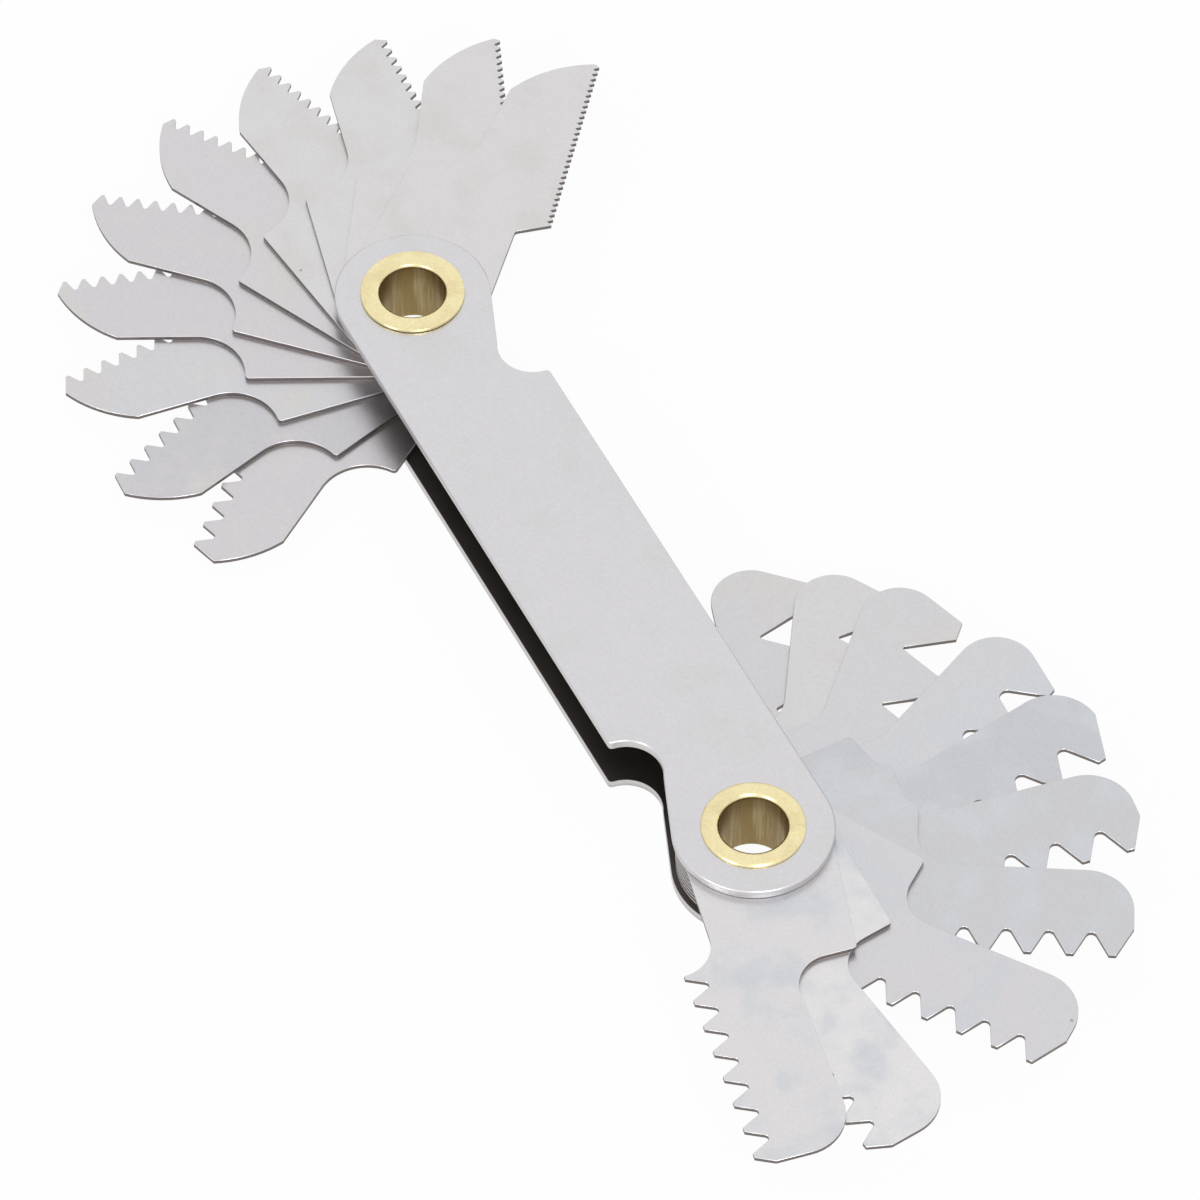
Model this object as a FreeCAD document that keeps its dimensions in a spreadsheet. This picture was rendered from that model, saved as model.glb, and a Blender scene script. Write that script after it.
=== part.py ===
import FreeCAD, Part
import math
import os

import Sketcher
from FreeCAD import Placement, Rotation, Vector

# A folding thread pitch gauge: two cover plates held by two brass eyelets, with ten thin
# leaves turning on each eyelet. Millimetres and degrees. The origin is at the middle of the
# case on the underside of the bottom plate, +X runs from the fine eyelet to the coarse one.

driving = {
    # case
    "pivot_spacing": 52.0,
    "case_width": 11.0,
    "plate_thickness": 0.7,
    "plate_edge_chamfer": 0.12,
    "plate_hole_clearance": 0.02,
    "notch_distance": 7.9,
    "notch_radius": 2.5,
    "notch_bite": 0.0342,
    "notch_corner_radius": 0.3,
    # eyelets
    "eyelet_bore": 4.6,
    "eyelet_wall": 0.35,
    "flange_diameter": 7.35,
    "flange_height": 0.42,
    "flange_rim_chamfer": 0.1,
    "flange_rim_thickness": 0.28,
    "flange_rim_lift": 0.06,
    "flange_crest_inset": 0.62,
    "roll_inset": 0.12,
    # leaves
    "leaf_thickness": 0.35,
    "leaf_spacing": 0.02,
    "leaf_hole_clearance": 0.05,
    "hub_radius": 5.15,
    "leaf_corner_radius": 0.3,
    # blank of the fine leaves
    "fine_back_edge": 1.3,
    "fine_notch_radius": 3.5,
    "fine_notch_distance": 15.3,
    "fine_end_radius": 8.9,
    "fine_end_distance": 17.2,
    "fine_end_drop": 6.8,
    "fine_tooth_drop": 7.95,
    "fine_tooth_slope": 9.6,
    "fine_tooth_start": 10.1,
    "fine_throat_distance": 8.6,
    "fine_throat_drop": 4.2,
    # blank of the coarse leaves
    "coarse_back_edge": 1.08,
    "coarse_hub_slope": 8.0,
    "coarse_notch_radius": 2.5,
    "coarse_notch_distance": 13.5,
    "coarse_corner_radius": 3.2,
    "coarse_steep_corner_radius": 2.8,
    "coarse_length": 25.6,
    "coarse_tooth_drop": 8.0,
    "coarse_tooth_start": 9.85,
    "coarse_throat_radius": 2.55,
    # thread form
    "inch": 25.4,
    "thread_angle": 55.0,
    "depth_per_pitch": 0.6403,
    "root_radius_per_pitch": 0.1373,
    "steep_pitch": 5.0,
    "steep_root_radius_per_pitch": 0.03,
    "flat_root_pitch": 1.3,
    "part_tooth": 0.3,
}

# Threads per inch, rest angle and place of the outermost tooth along the row of teeth,
# from the top layer down.
fineLeaves = [
    (48, 130.85, 24.28),
    (40, 148.3, 24.22),
    (28, 167.1, 23.93),
    (24, 186.9, 23.91),
    (22, 205.8, 23.89),
    (20, 225.3, 23.7),
    (19, 244.1, 23.71),
    (18, 263.65, 23.43),
    (16, 285.65, 23.17),
    (14, 304.9, 22.93),
]

# Threads per inch, rest angle and how far the outermost tooth stands back from the length
# of the leaf, from the bottom layer up.
coarseLeaves = [
    (4, 162.8, 3.76),
    (4.5, 147.85, 3.53),
    (5, 135.7, 3.12),
    (6, 115.5, 2.4),
    (7, 99.45, 2.04),
    (8, 80.95, 1.55),
    (9, 60.2, 1.42),
    (10, 36.5, 1.52),
    (11, 6.8, 0.98),
    (12, -9.45, 0.84),
]

layerCount = len(fineLeaves)
up = Vector(0, 0, 1)
levelTolerance = 1e-4
cornerTolerance = 0.01

doc = FreeCAD.newDocument("thread_pitch_gauge")
sheet = doc.addObject("Spreadsheet::Sheet", "sizes")


def leafName(threads):
    return ("leaf_%g_tpi" % threads).replace(".", "_")


cells = dict(driving)
for threads, angle, tooth in fineLeaves + coarseLeaves:
    cells["angle_of_" + leafName(threads)] = angle
    cells["outermost_tooth_of_" + leafName(threads)] = tooth
for row, (name, value) in enumerate(cells.items(), 1):
    sheet.set("A%d" % row, name)
    sheet.set("B%d" % row, str(value))
    sheet.setAlias("B%d" % row, name)
doc.recompute()


def size(name):
    return float(sheet.get(name))


def point(x, y):
    return Vector(x, y, 0)


def polar(centre, radius, degrees):
    turn = math.radians(degrees)
    return centre + Vector(radius * math.cos(turn), radius * math.sin(turn), 0)


def angleOf(vector):
    return math.degrees(math.atan2(vector.y, vector.x))


def line(start, end):
    return Part.LineSegment(start, end)


def arc(centre, radius, fromDegrees, toDegrees):
    # Runs anticlockwise from one angle to the other.
    circle = Part.Circle(centre, up, radius)
    return Part.ArcOfCircle(circle, math.radians(fromDegrees), math.radians(toDegrees))


def meetCircle(start, direction, centre, radius):
    # Both points where a line meets a circle, the nearer along the direction first.
    way = Vector(direction).normalize()
    along = (centre - start).dot(way)
    foot = start + way * along
    half = math.sqrt(radius ** 2 - (foot - centre).Length ** 2)
    return foot - way * half, foot + way * half


def tangentAngle(outside, radius):
    # Angle of the point where a line from outside touches a circle about the origin,
    # on the clockwise side.
    return angleOf(outside) - math.degrees(math.acos(radius / outside.Length))


def bodySketch(body, name, role="XY_Plane", offset=None):
    sketch = body.newObject("Sketcher::SketchObject", name)
    plane = next(item for item in body.Origin.OriginFeatures if item.Role == role)
    sketch.AttachmentSupport = [(plane, "")]
    sketch.MapMode = "FlatFace"
    if offset is not None:
        sketch.AttachmentOffset = offset
    return sketch


def drawOutline(sketch, curves):
    # Adds the curves of a closed outline in order and joins each to the next.
    for curve in curves:
        sketch.addGeometry(curve, False)
    count = len(curves)
    for index, curve in enumerate(curves):
        following = (index + 1) % count
        after = curves[following]
        ends = [(1, curve.StartPoint), (2, curve.EndPoint)]
        starts = [(1, after.StartPoint), (2, after.EndPoint)]
        pairs = [(here.distanceToPoint(there), a, b) for a, here in ends for b, there in starts]
        gap, end, start = min(pairs)
        sketch.addConstraint(Sketcher.Constraint("Coincident", index, end, following, start))


def padded(body, name, sketch, thickness):
    pad = body.newObject("PartDesign::Pad", name)
    pad.Profile = sketch
    pad.setExpression("Length", thickness)
    return pad


def pocketed(body, name, sketch):
    # Cuts right through the body in both directions.
    pocket = body.newObject("PartDesign::Pocket", name)
    pocket.Profile = sketch
    pocket.Type = "ThroughAll"
    pocket.Midplane = True
    return pocket


def filletUpright(body, name, corners, radius):
    # Rounds the upright edges that stand at the given corners.
    doc.recompute()
    base = body.Tip
    chosen = []
    for index, edge in enumerate(base.Shape.Edges):
        first = edge.Vertexes[0].Point
        last = edge.Vertexes[-1].Point
        foot = point(first.x, first.y)
        upright = abs(first.z - last.z) > levelTolerance
        upright = upright and foot.distanceToPoint(point(last.x, last.y)) < levelTolerance
        if upright and any(foot.distanceToPoint(corner) < cornerTolerance for corner in corners):
            chosen.append("Edge%d" % (index + 1))
    fillet = body.newObject("PartDesign::Fillet", name)
    fillet.Base = (base, chosen)
    fillet.setExpression("Radius", radius)
    return fillet


# ---- cover plates

caseHeight = "(2 * sizes.plate_thickness + %d * sizes.leaf_thickness + %d * sizes.leaf_spacing)" % (
    layerCount, layerCount + 1)


def plateOutline():
    half = size("pivot_spacing") / 2
    radius = size("case_width") / 2
    return [
        arc(point(-half, 0), radius, 90, 270),
        line(point(-half, -radius), point(half, -radius)),
        arc(point(half, 0), radius, -90, 90),
        line(point(half, radius), point(-half, radius)),
    ]


def notchOutline():
    # A half circle sunk in the long edge. The end arc runs on past the edge's end and a
    # straight leaves it at a tangent and cuts a little into the half circle.
    pivot = point(-size("pivot_spacing") / 2, 0)
    edge = size("case_width") / 2
    radius = size("notch_radius")
    centre = pivot + point(size("notch_distance"), edge)
    reach = (radius - size("notch_bite") + edge) / (centre - pivot).Length
    slope = math.degrees(math.asin(reach)) - angleOf(centre - pivot)
    leave = polar(pivot, edge, 90 - slope)
    enter = meetCircle(leave, polar(point(0, 0), 1, -slope), centre, radius)[0]
    corner = centre + point(radius, 0)
    above = edge + radius
    outline = [
        arc(pivot, edge, 90 - slope, 90),
        line(leave, enter),
        arc(centre, radius, angleOf(enter - centre), 0),
        line(corner, point(corner.x, above)),
        line(point(corner.x, above), point(pivot.x, above)),
        line(point(pivot.x, above), point(pivot.x, edge)),
    ]
    return outline, corner


def coverPlate(label, height, outerFaceUp):
    body = doc.addObject("PartDesign::Body", label)
    outline = bodySketch(body, label + "_outline")
    drawOutline(outline, plateOutline())
    padded(body, label + "_blank", outline, "sizes.plate_thickness")

    notch = bodySketch(body, label + "_notch_outline")
    curves, corner = notchOutline()
    drawOutline(notch, curves)
    notchCut = pocketed(body, label + "_notch", notch)

    hole = bodySketch(body, label + "_hole_outline")
    radius = size("eyelet_bore") / 2 + size("eyelet_wall") + size("plate_hole_clearance")
    hole.addGeometry(Part.Circle(point(-size("pivot_spacing") / 2, 0), up, radius), False)
    hole.addConstraint(Sketcher.Constraint("Radius", 0, radius))
    hole.setExpression("Constraints[0]", "sizes.eyelet_bore / 2 + sizes.eyelet_wall + sizes.plate_hole_clearance")
    hole.addConstraint(Sketcher.Constraint("DistanceX", 0, 3, -1, 1, size("pivot_spacing") / 2))
    hole.setExpression("Constraints[1]", "sizes.pivot_spacing / 2")
    hole.addConstraint(Sketcher.Constraint("PointOnObject", 0, 3, -1))
    holeCut = pocketed(body, label + "_hole", hole)

    twin = body.newObject("PartDesign::PolarPattern", label + "_twin")
    twin.Originals = [notchCut, holeCut]
    twin.Axis = (outline, ["N_Axis"])
    twin.Angle = 360
    twin.Occurrences = 2
    body.Tip = twin

    filletUpright(body, label + "_corners", [corner, -corner], "sizes.notch_corner_radius")
    doc.recompute()
    base = body.Tip
    outer = size("plate_thickness") if outerFaceUp else 0.0
    pivots = [point(side * size("pivot_spacing") / 2, 0) for side in (-1, 1)]
    rim = []
    for index, edge in enumerate(base.Shape.Edges):
        box = edge.BoundBox
        middle = point((box.XMin + box.XMax) / 2, (box.YMin + box.YMax) / 2)
        ofHole = len(edge.Vertexes) == 1 and min(middle.distanceToPoint(p) for p in pivots) < radius
        level = abs(box.ZMin - outer) < levelTolerance and abs(box.ZMax - outer) < levelTolerance
        if level and not ofHole:
            rim.append("Edge%d" % (index + 1))
    chamfer = body.newObject("PartDesign::Chamfer", label + "_edge")
    chamfer.Base = (base, rim)
    chamfer.setExpression("Size", "sizes.plate_edge_chamfer")
    body.setExpression("Placement.Base.z", height)
    return body


# ---- eyelets

def eyelet(label, side, turned):
    # A turned profile: a set roll below the case, a flat flange with a raised ring above.
    bore = size("eyelet_bore") / 2
    barrel = bore + size("eyelet_wall")
    rim = size("flange_diameter") / 2
    rise = size("flange_height")
    chamfer = size("flange_rim_chamfer")
    lift = size("flange_rim_lift")
    crest = bore + size("flange_crest_inset")
    height = 2 * size("plate_thickness")
    height += layerCount * size("leaf_thickness") + (layerCount + 1) * size("leaf_spacing")

    body = doc.addObject("PartDesign::Body", label)
    sketch = bodySketch(body, label + "_profile", "XZ_Plane")
    rimFoot = height + lift
    rimTop = rimFoot + size("flange_rim_thickness")
    mouth = height + rise - size("flange_crest_inset")
    roll = rim - size("roll_inset")
    curves = [
        line(point(barrel, 0), point(barrel, height)),
        line(point(barrel, height), point(crest, height)),
        line(point(crest, height), point(rim, rimFoot)),
        line(point(rim, rimFoot), point(rim, rimTop - chamfer)),
        line(point(rim, rimTop - chamfer), point(rim - chamfer, rimTop)),
        line(point(rim - chamfer, rimTop), point(crest, height + rise)),
        arc(point(crest, mouth), crest - bore, 90, 180),
        line(point(bore, mouth), point(bore, 0)),
        Part.Arc(point(bore, 0), point((bore + roll) / 2, -rise), point(roll, 0)),
        line(point(roll, 0), point(barrel, 0)),
    ]
    drawOutline(sketch, curves)
    turn = body.newObject("PartDesign::Revolution", label + "_turned")
    turn.Profile = sketch
    turn.ReferenceAxis = (sketch, ["V_Axis"])
    turn.Angle = 360
    body.setExpression("Placement.Base.x", "%d * sizes.pivot_spacing / 2" % side)
    if turned:
        body.Placement.Rotation = Rotation(Vector(1, 0, 0), 180)
        body.setExpression("Placement.Base.z", caseHeight)
    return body


# ---- leaves

def threadForm(pitch):
    # Depth, root radius and half width of the gullet at the tips of the teeth.
    lean = math.radians(size("thread_angle") / 2)
    share = "steep_root_radius_per_pitch" if pitch > size("steep_pitch") else "root_radius_per_pitch"
    depth = size("depth_per_pitch") * pitch
    radius = size(share) * pitch
    straight = depth - radius + radius * math.sin(lean)
    halfWidth = radius * math.cos(lean) + straight * math.tan(lean)
    return depth, radius, halfWidth


def fineBlank(pitch, outermost):
    hub = size("hub_radius")
    origin = point(0, 0)
    notchRadius = size("fine_notch_radius")
    notch = point(size("fine_notch_distance"), size("fine_back_edge") + notchRadius)
    hubCorner = point(notch.x - math.sqrt(notchRadius ** 2 - (hub - notch.y) ** 2), hub)
    endRadius = size("fine_end_radius")
    end = point(size("fine_end_distance"), -size("fine_end_drop"))
    back = size("fine_back_edge")
    backCorner = meetCircle(point(0, back), point(1, 0), end, endRadius)[1]

    slope = size("fine_tooth_slope")
    lean = size("thread_angle") / 2
    foot = polar(origin, size("fine_tooth_drop"), slope - 90)
    along = polar(origin, 1, slope)
    tip = foot + along * (outermost + pitch / 2 - threadForm(pitch)[2])
    tipCorner = meetCircle(tip, polar(origin, 1, slope + 90 - lean), end, endRadius)[1]
    start = foot + along * ((size("fine_tooth_start") - foot.x) / along.x)
    throat = point(size("fine_throat_distance"), -size("fine_throat_drop"))
    leave = tangentAngle(throat, hub)
    curves = [
        arc(origin, hub, 90, 360 + leave),
        line(polar(origin, hub, leave), throat),
        line(throat, start),
        line(start, tip),
        line(tip, tipCorner),
        arc(end, endRadius, angleOf(tipCorner - end), angleOf(backCorner - end)),
        line(backCorner, point(notch.x, back)),
        arc(notch, notchRadius, angleOf(hubCorner - notch), 270),
        line(hubCorner, point(0, hub)),
    ]
    return curves, [hubCorner, throat], foot, slope, (start - foot).Length


def coarseBlank(pitch, outermost):
    hub = size("hub_radius")
    origin = point(0, 0)
    notchRadius = size("coarse_notch_radius")
    back = -size("coarse_back_edge")
    notch = point(size("coarse_notch_distance"), back + notchRadius)
    slope = size("coarse_hub_slope")
    touch = polar(origin, hub, 90 - slope)
    inner = notch.x - notchRadius
    hubCorner = point(inner, touch.y - (inner - touch.x) * math.tan(math.radians(slope)))
    teeth = -size("coarse_tooth_drop")
    throatRadius = size("coarse_throat_radius")
    throat = point(size("coarse_tooth_start") - throatRadius, teeth)
    throatTop = throat + point(0, throatRadius)
    leave = tangentAngle(throatTop, hub)

    # The outer flank of the outermost tooth runs out either to the round corner or, past
    # the corner, to the straight end of the leaf.
    length = size("coarse_length")
    lean = size("thread_angle") / 2
    tip = point(outermost + pitch / 2 - threadForm(pitch)[2], teeth)
    flankTop = tip.x + (back - teeth) * math.tan(math.radians(lean))
    radius = size("coarse_steep_corner_radius")
    corner = point(flankTop - radius / math.tan(math.radians(45 - lean / 2)), back - radius)
    if corner.x + radius < length:
        flankEnd = polar(corner, radius, -lean)
        outerEnd = [
            line(tip, flankEnd),
            arc(corner, radius, -lean, 90),
        ]
    else:
        radius = size("coarse_corner_radius")
        corner = point(length - radius, back - radius)
        flankEnd = point(length, teeth + (length - tip.x) / math.tan(math.radians(lean)))
        outerEnd = [
            line(tip, flankEnd),
            line(flankEnd, point(length, corner.y)),
            arc(corner, radius, 0, 90),
        ]
    curves = [
        arc(origin, hub, 90 - slope, 360 + leave),
        line(polar(origin, hub, leave), throatTop),
        arc(throat, throatRadius, 0, 90),
        line(throat + point(throatRadius, 0), tip),
    ]
    curves += outerEnd
    curves += [
        line(point(corner.x, back), point(notch.x, back)),
        arc(notch, notchRadius, 180, 270),
        line(point(inner, notch.y), hubCorner),
        line(hubCorner, touch),
    ]
    return curves, [hubCorner], point(0, teeth), 0.0, size("coarse_tooth_start")


def gulletOutline(pitch):
    lean = size("thread_angle") / 2
    depth, radius, halfWidth = threadForm(pitch)
    if pitch < size("flat_root_pitch"):
        halfFlat = halfWidth - depth * math.tan(math.radians(lean))
        left = point(-halfFlat, depth)
        right = point(halfFlat, depth)
        bottom = line(right, left)
    else:
        root = point(0, depth - radius)
        left = polar(root, radius, 180 - lean)
        right = polar(root, radius, lean)
        bottom = arc(root, radius, lean, 180 - lean)
    return [
        line(point(-halfWidth, -pitch), point(halfWidth, -pitch)),
        line(point(halfWidth, -pitch), point(halfWidth, 0)),
        line(point(halfWidth, 0), right),
        bottom,
        line(left, point(-halfWidth, 0)),
        line(point(-halfWidth, 0), point(-halfWidth, -pitch)),
    ]


def leaf(threads, blankOf, side, layer):
    label = leafName(threads)
    pitch = size("inch") / threads
    outermost = size("outermost_tooth_of_" + label)
    if blankOf is coarseBlank:
        outermost = size("coarse_length") - outermost
    blank, corners, foot, slope, begin = blankOf(pitch, outermost)
    halfWidth = threadForm(pitch)[2]
    span = outermost - pitch / 2 - halfWidth - begin
    gullets = int((span + size("part_tooth")) / pitch) + 1

    body = doc.addObject("PartDesign::Body", label)
    outline = bodySketch(body, label + "_outline")
    drawOutline(outline, blank)
    padded(body, label + "_blank", outline, "sizes.leaf_thickness")
    filletUpright(body, label + "_corners", corners, "sizes.leaf_corner_radius")

    hole = bodySketch(body, label + "_hole_outline")
    radius = size("eyelet_bore") / 2 + size("eyelet_wall") + size("leaf_hole_clearance")
    hole.addGeometry(Part.Circle(point(0, 0), up, radius), False)
    hole.addConstraint(Sketcher.Constraint("Coincident", 0, 3, -1, 1))
    hole.addConstraint(Sketcher.Constraint("Radius", 0, radius))
    hole.setExpression("Constraints[1]", "sizes.eyelet_bore / 2 + sizes.eyelet_wall + sizes.leaf_hole_clearance")
    pocketed(body, label + "_hole", hole)

    firstRoot = foot + polar(point(0, 0), outermost - pitch / 2, slope)
    toothLine = Placement(firstRoot, Rotation(up, slope))
    gullet = bodySketch(body, label + "_gullet_outline", offset=toothLine)
    drawOutline(gullet, gulletOutline(pitch))
    cut = pocketed(body, label + "_gullet", gullet)
    teeth = body.newObject("PartDesign::LinearPattern", label + "_teeth")
    teeth.Originals = [cut]
    teeth.Direction = (gullet, ["H_Axis"])
    teeth.Reversed = True
    teeth.Length = pitch * (gullets - 1)
    teeth.Occurrences = gullets
    body.Tip = teeth

    body.setExpression("Placement.Base.x", "%d * sizes.pivot_spacing / 2" % side)
    step = "sizes.plate_thickness + sizes.leaf_spacing + %d * (sizes.leaf_thickness + sizes.leaf_spacing)"
    body.setExpression("Placement.Base.z", step % layer)
    body.setExpression("Placement.Rotation.Angle", "sizes.angle_of_%s" % label)
    return body


subParts = [
    coverPlate("bottom_cover_plate", "0", False),
    coverPlate("top_cover_plate", caseHeight + " - sizes.plate_thickness", True),
    eyelet("fine_end_eyelet", -1, False),
    eyelet("coarse_end_eyelet", 1, True),
]

for index, (threads, angle, outermost) in enumerate(fineLeaves):
    subParts.append(leaf(threads, fineBlank, -1, layerCount - 1 - index))
for index, (threads, angle, outermost) in enumerate(coarseLeaves):
    subParts.append(leaf(threads, coarseBlank, 1, index))

doc.recompute()

for item in doc.Objects:
    for state in item.State:
        if state in ("Invalid", "Error"):
            raise RuntimeError("%s is %s" % (item.Label, state))
for part in subParts:
    if part.Shape.isNull() or not part.Shape.isValid() or len(part.Shape.Solids) != 1:
        raise RuntimeError("%s has no valid single solid" % part.Label)

os.makedirs("parts", exist_ok=True)
for part in subParts:
    part.Shape.exportStep(os.path.join("parts", part.Label + ".step"))
    print("%-20s %8.3f mm3 %d faces" % (part.Label, part.Shape.Volume, len(part.Shape.Faces)))
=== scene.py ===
import math

import bmesh
import bpy
import numpy as np
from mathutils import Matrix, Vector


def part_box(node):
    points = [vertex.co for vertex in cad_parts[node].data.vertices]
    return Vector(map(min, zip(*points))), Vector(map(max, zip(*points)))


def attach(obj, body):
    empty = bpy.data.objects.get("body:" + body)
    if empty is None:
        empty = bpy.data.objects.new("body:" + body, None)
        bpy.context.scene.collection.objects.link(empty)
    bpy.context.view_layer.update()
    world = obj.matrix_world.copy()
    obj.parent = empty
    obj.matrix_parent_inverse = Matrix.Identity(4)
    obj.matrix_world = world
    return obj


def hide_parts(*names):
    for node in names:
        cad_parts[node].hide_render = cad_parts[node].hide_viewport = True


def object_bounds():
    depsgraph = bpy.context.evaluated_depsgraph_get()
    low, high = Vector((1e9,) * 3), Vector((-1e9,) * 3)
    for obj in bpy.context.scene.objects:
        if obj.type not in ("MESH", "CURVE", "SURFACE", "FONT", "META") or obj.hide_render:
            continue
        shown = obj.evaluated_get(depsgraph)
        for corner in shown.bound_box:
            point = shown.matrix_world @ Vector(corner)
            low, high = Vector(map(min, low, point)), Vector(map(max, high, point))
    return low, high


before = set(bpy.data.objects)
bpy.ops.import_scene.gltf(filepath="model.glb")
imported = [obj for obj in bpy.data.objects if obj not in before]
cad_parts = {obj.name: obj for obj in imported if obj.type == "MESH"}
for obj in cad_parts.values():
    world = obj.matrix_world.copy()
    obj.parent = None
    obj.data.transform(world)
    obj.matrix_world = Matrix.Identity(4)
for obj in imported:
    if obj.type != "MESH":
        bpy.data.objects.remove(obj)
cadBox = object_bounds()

mm = 0.001
plainWhite = (1, 1, 1, 1)
scene = bpy.context.scene
scene.view_settings.view_transform = "Standard"
print("frame loaded,", len(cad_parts), "solids")


# Small helpers that build node materials

def addNode(tree, kind, sockets, **settings):
    # settings are the node's own options, sockets its inputs: each a value or the output it is linked to
    made = tree.nodes.new(kind)
    for name, value in settings.items():
        setattr(made, name, value)
    for name, value in sockets.items():
        if isinstance(value, bpy.types.NodeSocket):
            tree.links.new(value, made.inputs[name])
        else:
            made.inputs[name].default_value = value
    return made


def maths(tree, operation, first, second=0.0, third=0.0):
    sockets = {0: first, 1: second, 2: third}
    return addNode(tree, "ShaderNodeMath", sockets, operation=operation).outputs[0]


def vectorMaths(tree, operation, first, second=(0, 0, 0)):
    made = addNode(tree, "ShaderNodeVectorMath", {0: first, 1: second}, operation=operation)
    return made.outputs["Value" if operation == "LENGTH" else "Vector"]


def upPart(tree, vector):
    return addNode(tree, "ShaderNodeSeparateXYZ", {0: vector}).outputs["Z"]


def fade(tree, value, low, high, outLow=0.0, outHigh=1.0):
    # a smooth step from outLow to outHigh as value goes from low to high
    sockets = {"Value": value, "From Min": low, "From Max": high, "To Min": outLow, "To Max": outHigh}
    return addNode(tree, "ShaderNodeMapRange", sockets, interpolation_type="SMOOTHSTEP").outputs[0]


def mixColour(tree, share, first, second, blend="MIX"):
    # share of the second colour over the first, each an output or three numbers
    sockets = {0: share}
    for index, colour in ((6, first), (7, second)):
        sockets[index] = colour if isinstance(colour, bpy.types.NodeSocket) else (*colour, 1)
    return addNode(tree, "ShaderNodeMix", sockets, data_type="RGBA", blend_type=blend).outputs[2]


def shaded(tree, colour, shade):
    # the colour times one number
    grey = addNode(tree, "ShaderNodeCombineColor", {0: shade, 1: shade, 2: shade}).outputs[0]
    return mixColour(tree, 1.0, colour, grey, "MULTIPLY")


def placed(tree, coordinates, centre=(0, 0, 0), turn=0.0, stretch=(1, 1, 1)):
    # coordinates moved to a centre, turned back by an angle in degrees, then stretched
    moved = vectorMaths(tree, "SUBTRACT", coordinates, centre)
    rotation = (0, 0, math.radians(-turn))
    turned = addNode(tree, "ShaderNodeMapping", {"Vector": moved, "Rotation": rotation}, vector_type="POINT")
    return vectorMaths(tree, "MULTIPLY", turned.outputs[0], stretch)


def noise(tree, vector, scale, detail, rough):
    sockets = {"Vector": vector, "Scale": scale, "Detail": detail, "Roughness": rough}
    return addNode(tree, "ShaderNodeTexNoise", sockets).outputs[0]


def spots(tree, vector, scale, rarity, largest):
    # round spots at the points of a cell pattern, only where a cell's own number is above rarity
    cells = addNode(tree, "ShaderNodeTexVoronoi", {"Vector": vector, "Scale": scale})
    number = addNode(tree, "ShaderNodeSeparateColor", {0: cells.outputs["Color"]}).outputs[0]
    radius = fade(tree, number, rarity, 1.0, 0.0, largest)
    return maths(tree, "LESS_THAN", cells.outputs["Distance"], radius)


def startMaterial(name):
    material = bpy.data.materials.new(name)
    material.use_nodes = True
    tree = material.node_tree
    return material, tree, tree.nodes["Principled BSDF"]


def objectCoordinates(tree):
    return tree.nodes.new("ShaderNodeTexCoord").outputs["Object"]


def linkMetal(tree, shader, base, rough, relief, look):
    # the colour, roughness and relief of a metal go to its shader
    sockets = {"Height": relief, "Distance": look["bump"], "Strength": look["bumpStrength"]}
    bump = addNode(tree, "ShaderNodeBump", sockets)
    tree.links.new(base, shader.inputs["Base Color"])
    tree.links.new(rough, shader.inputs["Roughness"])
    tree.links.new(bump.outputs[0], shader.inputs["Normal"])
    shader.inputs["Metallic"].default_value = 1.0


def seenAsWhite(tree):
    # 1 for rays from the camera, and for those mirrored or let through by a surface
    rays = tree.nodes.new("ShaderNodeLightPath").outputs
    seen = maths(tree, "MAXIMUM", rays["Is Camera Ray"], rays["Is Glossy Ray"])
    return maths(tree, "MAXIMUM", seen, rays["Is Transmission Ray"])


# Camera

cameraSetup = {
    "place": (0.30603, -0.15409, 0.43945),
    "turns": (37.933, -0.1536, 63.2235),  # degrees
    "lens": 242.05,
    "sensor": 36.0,
    "nearest": 0.01,
    "farthest": 20.0,
}


def addCamera():
    data = bpy.data.cameras.new("camera")
    data.lens = cameraSetup["lens"]
    data.sensor_width = cameraSetup["sensor"]
    data.clip_start = cameraSetup["nearest"]
    data.clip_end = cameraSetup["farthest"]
    camera = bpy.data.objects.new("camera", data)
    camera.location = cameraSetup["place"]
    camera.rotation_euler = [math.radians(turn) for turn in cameraSetup["turns"]]
    scene.collection.objects.link(camera)
    scene.camera = camera
    print("camera placed")


addCamera()


# Floor, room and lamps

studio = {
    "floorSize": 6.0,
    "floorColour": (0.93, 0.93, 0.93),
    "floorRoughness": 0.8,
    "floorWhite": 0.95,  # share of plain white that is seen on the floor, the rest keeps the shadow
    "roomColour": (1.0, 0.995, 1.0),
    "roomLevel": 0.72,
    "lamps": [
        # place, size, power in watts, aimed at the middle of the part
        ((0.75, -0.15, 0.6), 0.3, 1.6),
        ((0.35, -0.85, 0.45), 0.3, 1.6),
    ],
}


def addFloor():
    half = studio["floorSize"] / 2
    height = cadBox[0].z
    mesh = bpy.data.meshes.new("floor")
    corners = [(-half, -half, height), (half, -half, height), (half, half, height), (-half, half, height)]
    mesh.from_pydata(corners, [], [(0, 1, 2, 3)])
    floor = bpy.data.objects.new("floor", mesh)
    scene.collection.objects.link(floor)
    material, tree, shader = startMaterial("floor_white")
    shader.inputs["Base Color"].default_value = (*studio["floorColour"], 1)
    shader.inputs["Roughness"].default_value = studio["floorRoughness"]
    glow = addNode(tree, "ShaderNodeEmission", {"Color": plainWhite, "Strength": 1.0})
    share = maths(tree, "MULTIPLY", seenAsWhite(tree), studio["floorWhite"])
    blend = addNode(tree, "ShaderNodeMixShader", {0: share, 1: shader.outputs[0], 2: glow.outputs[0]})
    tree.links.new(blend.outputs[0], tree.nodes["Material Output"].inputs["Surface"])
    mesh.materials.append(material)


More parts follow.
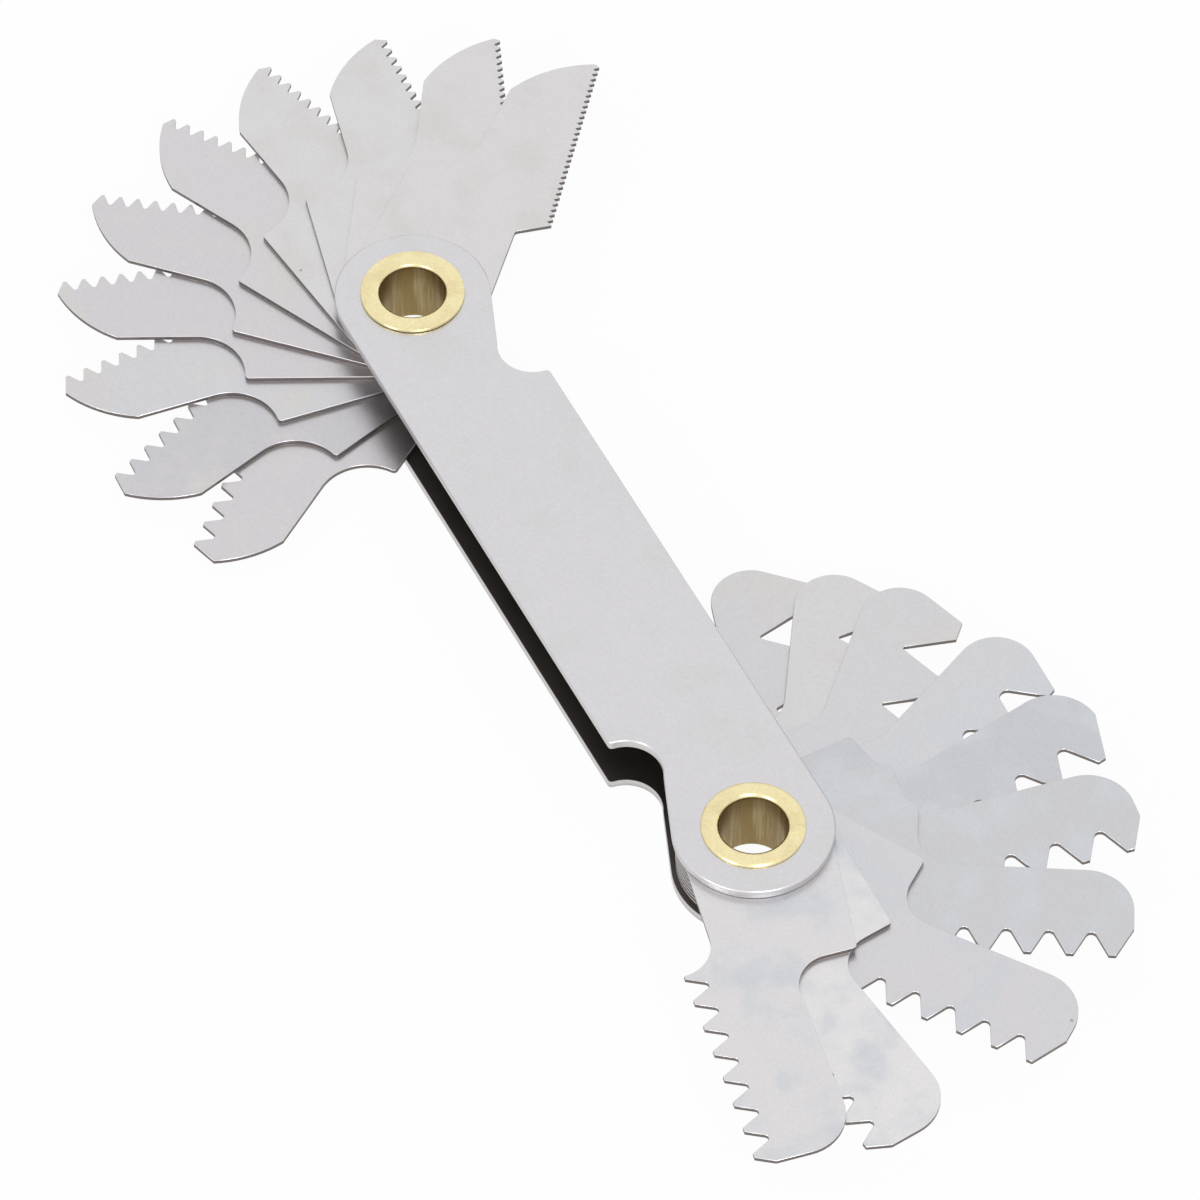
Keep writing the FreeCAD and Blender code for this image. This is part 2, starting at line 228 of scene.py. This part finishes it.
def addRoom():
    world = bpy.data.worlds.new("room")
    scene.world = world
    world.use_nodes = True
    tree = world.node_tree
    plain = tree.nodes["Background"]
    plain.inputs["Color"].default_value = (*studio["roomColour"], 1)
    plain.inputs["Strength"].default_value = studio["roomLevel"]
    white = addNode(tree, "ShaderNodeBackground", {"Color": plainWhite, "Strength": 1.0})
    sockets = {0: seenAsWhite(tree), 1: plain.outputs[0], 2: white.outputs[0]}
    blend = addNode(tree, "ShaderNodeMixShader", sockets)
    tree.links.new(blend.outputs[0], tree.nodes["World Output"].inputs["Surface"])


def addLamps():
    middle = (cadBox[0] + cadBox[1]) / 2
    for index, (place, side, power) in enumerate(studio["lamps"]):
        data = bpy.data.lights.new("softbox_%d" % index, "AREA")
        data.size = side
        data.energy = power
        lamp = bpy.data.objects.new("softbox_%d" % index, data)
        lamp.location = place
        lamp.rotation_euler = (lamp.location - middle).to_track_quat("Z", "Y").to_euler()
        scene.collection.objects.link(lamp)


addFloor()
addRoom()
addLamps()
print("floor, room and lamps placed")


# Steel

steelLook = {
    # noises: scale, detail, roughness
    "clouds": (260.0, 3.0, 0.55),
    "grain": (5200.0, 2.0, 0.6),
    "brush": (900.0, 4.0, 0.65),
    "brushStretch": 16.0,
    "brushStrength": 0.05,
    # round spots: scale, rarity, largest radius in cells
    "pits": (700.0, 0.93, 0.09),
    "dust": (420.0, 0.955, 0.07),
    "pitColour": (0.16, 0.14, 0.12),
    "pitShare": 0.45,
    "dustColour": (0.93, 0.93, 0.94),
    "dustShare": 0.7,
    "cloudLimits": (0.42, 0.72),  # noise at which the stain starts and is full
    "grainLimits": (0.25, 0.75),
    "grainShades": (0.965, 1.03),
    "cutLimits": (0.35, 0.6),  # upward share of the normal, from a cut edge to a flat face
    "cloudRoughness": 0.12,
    "cutRoughness": 0.12,
    "innerRoughness": 0.12,
    "innerShadeFade": 0.02 * mm,
    "brushRelief": 0.8,
    "grainRelief": 0.3,
    "pitRelief": 0.8,
    "bump": 0.012 * mm,
    "bumpStrength": 0.5,
}

blankShape = {
    "mergeDistance": 1e-7,  # metres
    "flatAngle": 0.3,  # faces that meet at fewer degrees become one
    "sharpAngle": 32.0,  # edges over this many degrees stay sharp
    "faceTilt": 0.999,  # a flat face's normal points up or down by at least this
    "sideTilt": 0.9,  # and a side's normal by less than this
    "roundBevel": 0.5,
    "mostCorners": 4,  # faces with more are cut into triangles
}


def steel(name, colour, stain, brushTurn, roughness, edge, inner=None):
    # colour with soft clouds of stain, fine brush lines square to brushTurn, grain, pits and dust,
    # a darker cut edge that on the leaves is partly painted shade, and for a cover plate
    # painted shade on the inner face between two heights
    look = steelLook
    material, tree, shader = startMaterial(name)
    coordinates = objectCoordinates(tree)
    clouds = noise(tree, coordinates, *look["clouds"])
    grain = noise(tree, coordinates, *look["grain"])
    along = placed(tree, coordinates, turn=brushTurn, stretch=(look["brushStretch"], 1, 1))
    brushed = noise(tree, along, *look["brush"])

    base = mixColour(tree, fade(tree, clouds, *look["cloudLimits"]), colour, stain)
    shade = maths(tree, "MULTIPLY_ADD", brushed, look["brushStrength"] * 2, 1 - look["brushStrength"])
    shade = maths(tree, "MULTIPLY", shade, fade(tree, grain, *look["grainLimits"], *look["grainShades"]))
    base = shaded(tree, base, shade)
    pits = spots(tree, coordinates, *look["pits"])
    base = mixColour(tree, maths(tree, "MULTIPLY", pits, look["pitShare"]), base, look["pitColour"])
    dust = spots(tree, coordinates, *look["dust"])
    base = mixColour(tree, maths(tree, "MULTIPLY", dust, look["dustShare"]), base, look["dustColour"])

    normal = tree.nodes.new("ShaderNodeNewGeometry").outputs["Normal"]
    tilt = maths(tree, "ABSOLUTE", upPart(tree, normal))
    # darker side faces: a cut edge tone, and on the leaves partly painted shade
    cut = fade(tree, tilt, *look["cutLimits"], 1.0, 0.0)
    base = mixColour(tree, cut, base, edge)
    cloudRough = look["cloudRoughness"]
    rough = maths(tree, "MULTIPLY_ADD", clouds, cloudRough, roughness - cloudRough / 2)
    rough = maths(tree, "ADD", rough, maths(tree, "MULTIPLY", cut, look["cutRoughness"]))
    # painted shade: the plate's inner face between the two heights is darkened to stand in for the shade
    # between the plates
    if inner:
        height = upPart(tree, coordinates)
        above = fade(tree, height, inner["low"] - look["innerShadeFade"], inner["low"])
        below = fade(tree, height, inner["high"], inner["high"] + look["innerShadeFade"], 1.0, 0.0)
        paintedShade = maths(tree, "MULTIPLY", above, below)
        base = mixColour(tree, paintedShade, base, inner["colour"])
        rough = maths(tree, "ADD", rough, maths(tree, "MULTIPLY", paintedShade, look["innerRoughness"]))
    relief = maths(tree, "ADD", maths(tree, "MULTIPLY", brushed, look["brushRelief"]),
                   maths(tree, "MULTIPLY", grain, look["grainRelief"]))
    relief = maths(tree, "SUBTRACT", relief, maths(tree, "MULTIPLY", pits, look["pitRelief"]))
    linkMetal(tree, shader, base, rough, relief, look)
    return material


def roundedBlank(node, body, rim, steps):
    # a merged copy of a flat steel solid, its face rims rounded by Bevel
    shape = bmesh.new()
    shape.from_mesh(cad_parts[node].data)
    bmesh.ops.remove_doubles(shape, verts=shape.verts, dist=blankShape["mergeDistance"])
    bmesh.ops.dissolve_limit(shape, angle_limit=math.radians(blankShape["flatAngle"]),
                             verts=shape.verts, edges=shape.edges)
    shape.normal_update()
    rims = []
    for edge in shape.edges:
        tilts = [abs(face.normal.z) for face in edge.link_faces]
        if len(tilts) == 2 and max(tilts) > blankShape["faceTilt"] and min(tilts) < blankShape["sideTilt"]:
            rims.append(edge)
    bmesh.ops.bevel(shape, geom=rims, offset=rim, segments=steps, profile=blankShape["roundBevel"],
                    affect="EDGES", clamp_overlap=False, offset_type="OFFSET")
    manySided = [face for face in shape.faces if len(face.verts) > blankShape["mostCorners"]]
    bmesh.ops.triangulate(shape, faces=manySided)
    mesh = bpy.data.meshes.new(node + "_steel")
    shape.to_mesh(mesh)
    shape.free()
    # setting sharp edges makes every face smooth, so the flat faces are set after it
    mesh.set_sharp_from_angle(angle=math.radians(blankShape["sharpAngle"]))
    normals = np.empty(len(mesh.polygons) * 3, np.float32)
    mesh.polygons.foreach_get("normal", normals)
    mesh.polygons.foreach_set("use_smooth", np.abs(normals[2::3]) < blankShape["faceTilt"])
    piece = bpy.data.objects.new(node + "_steel", mesh)
    scene.collection.objects.link(piece)
    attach(piece, body)
    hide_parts(node)
    return piece


# Cover plates

plateLook = {
    "colour": (0.675, 0.662, 0.68),
    "stain": (0.655, 0.65, 0.66),
    "edge": (0.62, 0.6, 0.6),
    "roughness": 0.3,
    "brushTurn": 0.0,
    "rim": 0.05 * mm,
    "rimSteps": 2,
    # colour of the painted shade on the plates' inner faces
    "innerShadeColour": (0.13, 0.112, 0.104),
}


def addPlates():
    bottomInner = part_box("bottom_cover_plate")[1].z
    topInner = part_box("top_cover_plate")[0].z
    inner = {"low": bottomInner, "high": topInner, "colour": plateLook["innerShadeColour"]}
    finish = steel("plate_steel", plateLook["colour"], plateLook["stain"], plateLook["brushTurn"],
                   plateLook["roughness"], plateLook["edge"], inner)
    for node in ("bottom_cover_plate", "top_cover_plate"):
        piece = roundedBlank(node, "case", plateLook["rim"], plateLook["rimSteps"])
        piece.data.materials.append(finish)
    print("cover plates made")


addPlates()


# Leaves

leafLook = {
    "rim": 0.025 * mm,
    "rimSteps": 1,
    "roughness": 0.33,
    # dark colour of the leaves' cut sides: partly the darker cut metal, partly painted shade along the leaf
    # edges
    "edge": (0.2, 0.175, 0.165),
    "coolStain": (0.62, 0.64, 0.68),
    "warmStain": (0.66, 0.64, 0.63),
    "coolUnder": 130.0,  # leaves with a smaller rest direction have the cool stain
}

# rest direction in degrees and colour of each leaf
leafColours = {
    "leaf_48_tpi": (130.85, (0.69, 0.675, 0.68)),
    "leaf_40_tpi": (148.3, (0.69, 0.675, 0.68)),
    "leaf_28_tpi": (167.1, (0.69, 0.68, 0.69)),
    "leaf_24_tpi": (186.9, (0.69, 0.68, 0.69)),
    "leaf_22_tpi": (205.8, (0.655, 0.64, 0.66)),
    "leaf_20_tpi": (225.3, (0.64, 0.625, 0.645)),
    "leaf_19_tpi": (244.1, (0.64, 0.625, 0.645)),
    "leaf_18_tpi": (263.65, (0.645, 0.64, 0.67)),
    "leaf_16_tpi": (285.65, (0.59, 0.58, 0.605)),
    "leaf_14_tpi": (304.9, (0.64, 0.625, 0.645)),
    "leaf_4_tpi": (162.8, (0.645, 0.635, 0.655)),
    "leaf_4_5_tpi": (147.85, (0.67, 0.66, 0.67)),
    "leaf_5_tpi": (135.7, (0.645, 0.64, 0.66)),
    "leaf_6_tpi": (115.5, (0.645, 0.645, 0.67)),
    "leaf_7_tpi": (99.45, (0.58, 0.585, 0.615)),
    "leaf_8_tpi": (80.95, (0.605, 0.605, 0.62)),
    "leaf_9_tpi": (60.2, (0.61, 0.61, 0.63)),
    "leaf_10_tpi": (36.5, (0.66, 0.645, 0.665)),
    "leaf_11_tpi": (6.8, (0.76, 0.745, 0.75)),
    "leaf_12_tpi": (-9.45, (0.72, 0.7, 0.71)),
}


def addLeaves():
    for node, (direction, colour) in leafColours.items():
        stain = leafLook["coolStain"] if direction < leafLook["coolUnder"] else leafLook["warmStain"]
        finish = steel(node + "_finish", colour, stain, direction, leafLook["roughness"], leafLook["edge"])
        piece = roundedBlank(node, node, leafLook["rim"], leafLook["rimSteps"])
        piece.data.materials.append(finish)
    print("leaves made")


addLeaves()


# Eyelets

brassLook = {
    "colour": (0.9, 0.8, 0.47),
    "worn": (0.83, 0.7, 0.4),
    # inside the bore: painted shade in dark brown, and its lighter upright scratch lines
    "bore": (0.27, 0.19, 0.075),
    "boreLines": (0.4, 0.32, 0.17),
    "roughness": 0.24,
    # noises: scale, detail, roughness
    "clouds": (700.0, 3.0, 0.6),
    "grain": (4200.0, 2.0, 0.6),
    "streaks": (2600.0, 3.0, 0.6),
    "streakStretch": 0.05,
    "cloudLimits": (0.4, 0.7),  # noise at which the wear starts and is full
    "grainLimits": (0.25, 0.75),
    "grainShades": (0.94, 1.03),
    "streakLimits": (0.45, 0.7),
    "boreFade": 0.06 * mm,
    "cloudRoughness": 0.2,
    "boreRoughness": 0.15,
    "grainRelief": 0.5,
    "cloudRelief": 1.5,
    "streakRelief": 0.8,
    "bump": 0.012 * mm,
    "bumpStrength": 0.6,
}

# millimetres, heights from the outer face of the plate
eyeletShape = {
    "halfSpacing": 26.0,
    "bore": 2.3,
    "barrel": 2.645,
    # radius and height, from the barrel outwards, over the top and down into the bore
    "flange": [(2.92, 0.002), (3.66, 0.065), (3.672, 0.09), (3.672, 0.25), (3.6, 0.31), (3.42, 0.32),
               (3.22, 0.325), (3.1, 0.35), (2.98, 0.405), (2.84, 0.415), (2.64, 0.385), (2.42, 0.26),
               (2.31, 0.08), (2.3, -0.1)],
    "roll": [(2.66, 0.004), (3.1, 0.004), (3.52, 0.006), (3.55, 0.05), (3.54, 0.13), (3.42, 0.25),
             (3.2, 0.37), (2.98, 0.415), (2.74, 0.385), (2.48, 0.25), (2.32, 0.06), (2.3, -0.12)],
    "rounds": 2,
    "steps": 192,
}

# the rim of an eyelet is slightly out of round
rimWave = {
    "count": 3,
    "phase": 0.6,
    "depth": 0.002,
    "start": 2.7,  # radius in millimetres where the wave begins
    "growth": 0.9,  # and how much further out it is full
    "limit": 1.0005,
}


def brass(name, x):
    # worn clouds and fine grain, and painted shade inside the bore with lighter upright scratch lines
    look = brassLook
    material, tree, shader = startMaterial(name)
    local = placed(tree, objectCoordinates(tree), centre=(x, 0, 0))
    clouds = noise(tree, local, *look["clouds"])
    grain = noise(tree, local, *look["grain"])
    upright = placed(tree, local, stretch=(1, 1, look["streakStretch"]))
    streaks = noise(tree, upright, *look["streaks"])
    radius = vectorMaths(tree, "LENGTH", vectorMaths(tree, "MULTIPLY", local, (1, 1, 0)))
    boreRadius = eyeletShape["bore"] * mm
    insideBore = fade(tree, radius, boreRadius, boreRadius + look["boreFade"], 1.0, 0.0)

    base = mixColour(tree, fade(tree, clouds, *look["cloudLimits"]), look["colour"], look["worn"])
    base = shaded(tree, base, fade(tree, grain, *look["grainLimits"], *look["grainShades"]))
    # painted shade inside the bore, streaked with scratch lines
    lines = mixColour(tree, fade(tree, streaks, *look["streakLimits"]), look["bore"], look["boreLines"])
    base = mixColour(tree, insideBore, base, lines)
    cloudRough = look["cloudRoughness"]
    rough = maths(tree, "MULTIPLY_ADD", clouds, cloudRough, look["roughness"] - cloudRough / 2)
    rough = maths(tree, "MULTIPLY_ADD", insideBore, look["boreRoughness"], rough)
    relief = maths(tree, "ADD", maths(tree, "MULTIPLY", grain, look["grainRelief"]),
                   maths(tree, "MULTIPLY", clouds, look["cloudRelief"]))
    boreStreaks = maths(tree, "MULTIPLY", streaks, insideBore)
    relief = maths(tree, "MULTIPLY_ADD", boreStreaks, look["streakRelief"], relief)
    linkMetal(tree, shader, base, rough, relief, look)
    return material


def softened(points, rounds, cut=0.25):
    # both ends of each run move in by the cut share of it, over and over, and the line's own ends stay
    line = np.array(points, float)
    for _ in range(rounds):
        near = line[:-1] * (1 - cut) + line[1:] * cut
        far = line[:-1] * cut + line[1:] * (1 - cut)
        middle = np.empty((2 * len(near), 2))
        middle[0::2] = near
        middle[1::2] = far
        line = np.vstack([line[:1], middle, line[-1:]])
    return line


def turnedPiece(name, profile, x, steps):
    # a closed profile of radius r and height h carried round an upright axis by the angle a:
    # x = centre + r w cos a, y = r w sin a, z = h, where the wave w is 1 at the barrel and
    # 1 + depth sin(count a + phase) at the rim, but no more than its limit
    angles = np.linspace(0, 2 * np.pi, steps, endpoint=False)
    r = profile[:, 0] * mm
    h = profile[:, 1] * mm
    growth = np.clip((profile[:, 0] - rimWave["start"]) / rimWave["growth"], 0, 1)[None, :]
    wave = 1 + rimWave["depth"] * np.sin(rimWave["count"] * angles + rimWave["phase"])[:, None] * growth
    wave = np.minimum(wave, rimWave["limit"])
    points = np.empty((steps, len(profile), 3))
    points[..., 0] = x + r[None, :] * wave * np.cos(angles)[:, None]
    points[..., 1] = r[None, :] * wave * np.sin(angles)[:, None]
    points[..., 2] = h[None, :]
    width = len(profile)
    i, j = np.meshgrid(np.arange(steps), np.arange(width), indexing="ij")
    nextI = (i + 1) % steps
    nextJ = (j + 1) % width
    faces = np.stack([i * width + j, nextI * width + j, nextI * width + nextJ, i * width + nextJ], -1)
    mesh = bpy.data.meshes.new(name)
    mesh.from_pydata(points.reshape(-1, 3), [], faces.reshape(-1, 4).tolist())
    mesh.polygons.foreach_set("use_smooth", np.ones(len(mesh.polygons), bool))
    piece = bpy.data.objects.new(name, mesh)
    scene.collection.objects.link(piece)
    return piece


def eyeletProfile(height, turned):
    # anticlockwise seen with the axis on the left: up the outside, over the top, down the bore
    flange = softened(eyeletShape["flange"], eyeletShape["rounds"])
    roll = softened(eyeletShape["roll"], eyeletShape["rounds"])
    top, bottom = (roll, flange) if turned else (flange, roll)
    bottomLine = (bottom * (1, -1))[::-1]
    barrel = np.array([(eyeletShape["barrel"], 0.0), (eyeletShape["barrel"], height)])
    return np.vstack([bottomLine, barrel, top + (0, height)])


def addEyelets():
    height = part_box("top_cover_plate")[1].z / mm
    for node, side, turned in (("fine_end_eyelet", -1, False), ("coarse_end_eyelet", 1, True)):
        x = side * eyeletShape["halfSpacing"] * mm
        piece = turnedPiece(node + "_brass", eyeletProfile(height, turned), x, eyeletShape["steps"])
        piece.data.materials.append(brass(node + "_finish", x))
        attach(piece, "case")
        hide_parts(node)
    print("eyelets made")


addEyelets()
